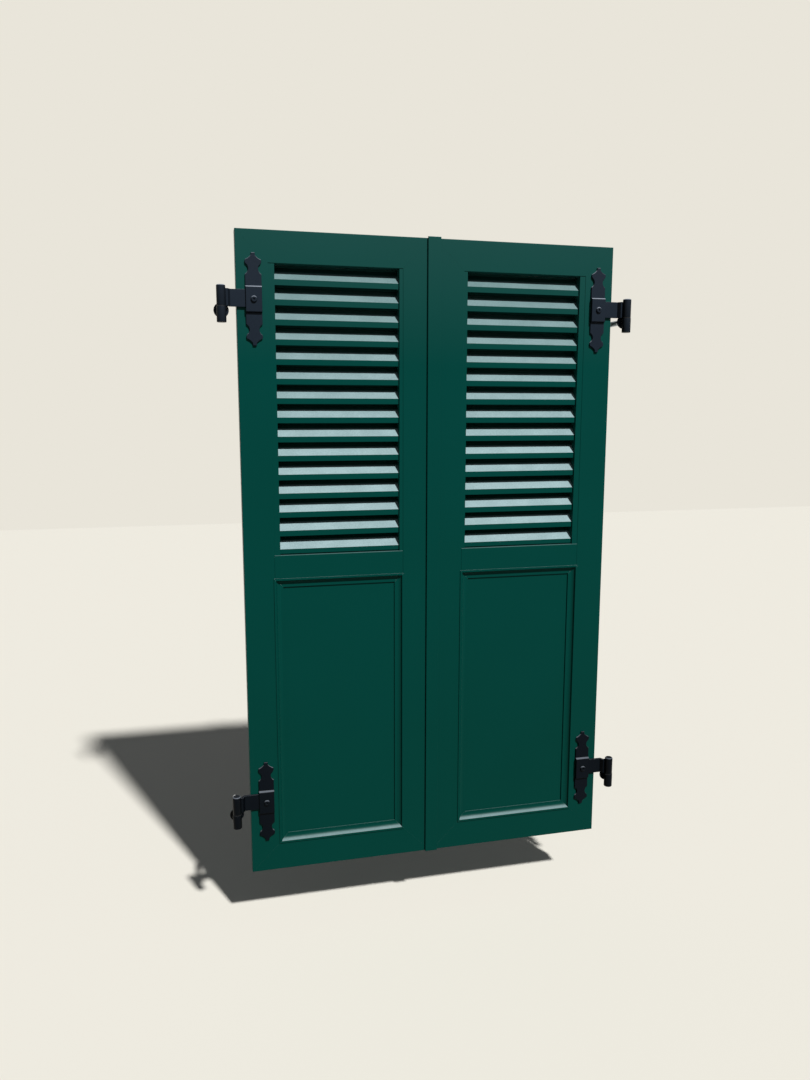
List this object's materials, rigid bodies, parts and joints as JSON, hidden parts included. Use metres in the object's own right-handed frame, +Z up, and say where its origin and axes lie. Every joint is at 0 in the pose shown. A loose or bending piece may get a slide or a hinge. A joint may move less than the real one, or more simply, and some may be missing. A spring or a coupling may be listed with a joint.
{
  "type": "louvred shutters",
  "caption": "Pair of side-hung metal window shutters with fixed louvres above, moulded lower panels, strap hinges on wall pintles and a rod lock behind.",
  "frame": {"origin": "centre of the four wall studs, on the wall's face, level with the leaves' front", "axes": "+X across the pair to the right as seen from outside, +Y into the wall, +Z up"},
  "size_m": [0.908, 0.1095, 1.3685],
  "materials": {
    "green_powder_coat": "satin powder coat",
    "black_powder_coat": "fine textured powder coat",
    "mill_aluminium": "mill finish",
    "zinc_plated_steel": "bright zinc plate",
    "seal_rubber": "matt",
    "black_nylon": "moulded"
  },
  "bodies": {
    "wall_pintles": {"left_upper_pintle": "black_powder_coat", "left_lower_pintle": "black_powder_coat", "right_upper_pintle": "black_powder_coat", "right_lower_pintle": "black_powder_coat", "rosettes": "black_powder_coat", "hinge_washers": "black_nylon"},
    "left_leaf": {"left_hinge_stile": "green_powder_coat", "left_meeting_stile": "green_powder_coat", "left_top_rail": "green_powder_coat", "left_mid_rail": "green_powder_coat", "left_bottom_rail": "green_powder_coat", "left_hinge_side_slat_carrier": "green_powder_coat", "left_meeting_side_slat_carrier": "green_powder_coat", "left_slats": "green_powder_coat", "left_infill_panel": "green_powder_coat", "left_panel_moulding": "green_powder_coat", "left_panel_bead": "green_powder_coat", "left_upper_hinge_strap": "black_powder_coat", "left_lower_hinge_strap": "black_powder_coat", "left_upper_cover_plate": "black_powder_coat", "left_lower_cover_plate": "black_powder_coat", "left_hinge_screws": "black_powder_coat", "left_rail_connectors": "mill_aluminium", "left_corner_cleats": "mill_aluminium", "left_nut_plates": "zinc_plated_steel"},
    "right_leaf": {"right_hinge_stile": "green_powder_coat", "right_meeting_stile": "green_powder_coat", "right_top_rail": "green_powder_coat", "right_mid_rail": "green_powder_coat", "right_bottom_rail": "green_powder_coat", "right_hinge_side_slat_carrier": "green_powder_coat", "right_meeting_side_slat_carrier": "green_powder_coat", "right_slats": "green_powder_coat", "right_infill_panel": "green_powder_coat", "right_panel_moulding": "green_powder_coat", "right_panel_bead": "green_powder_coat", "right_upper_hinge_strap": "black_powder_coat", "right_lower_hinge_strap": "black_powder_coat", "right_upper_cover_plate": "black_powder_coat", "right_lower_cover_plate": "black_powder_coat", "right_hinge_screws": "black_powder_coat", "right_rail_connectors": "mill_aluminium", "right_corner_cleats": "mill_aluminium", "right_nut_plates": "zinc_plated_steel", "cover_strip": "green_powder_coat", "strip_gasket": "seal_rubber", "rod_guides": "black_powder_coat", "lever_clip": "black_nylon", "rivets": "mill_aluminium"},
    "lock_rod": {"espagnolette_rod": "black_powder_coat", "lever_handle": "black_powder_coat", "lever_pin": "zinc_plated_steel"}
  },
  "joints": [
    {"name": "right_leaf_swing", "type": "hinge", "parent": "wall_pintles", "child": "right_leaf", "pos_m": [0.439, -0.015, 0], "axis": [0, 0, 1], "range_deg": [0, 180]},
    {"name": "left_leaf_swing", "type": "hinge", "parent": "wall_pintles", "child": "left_leaf", "pos_m": [-0.439, -0.015, 0], "axis": [0, 0, 1], "range_deg": [-180, 0]},
    {"name": "lock_rod_turn", "type": "hinge", "parent": "right_leaf", "child": "lock_rod", "pos_m": [0.035, 0.047, 0], "axis": [0, 0, 1], "range_deg": [0, 110]}
  ],
  "couplings": [
    {"joint": "left_leaf_swing", "follows": "right_leaf_swing", "ratio": -1}
  ]
}
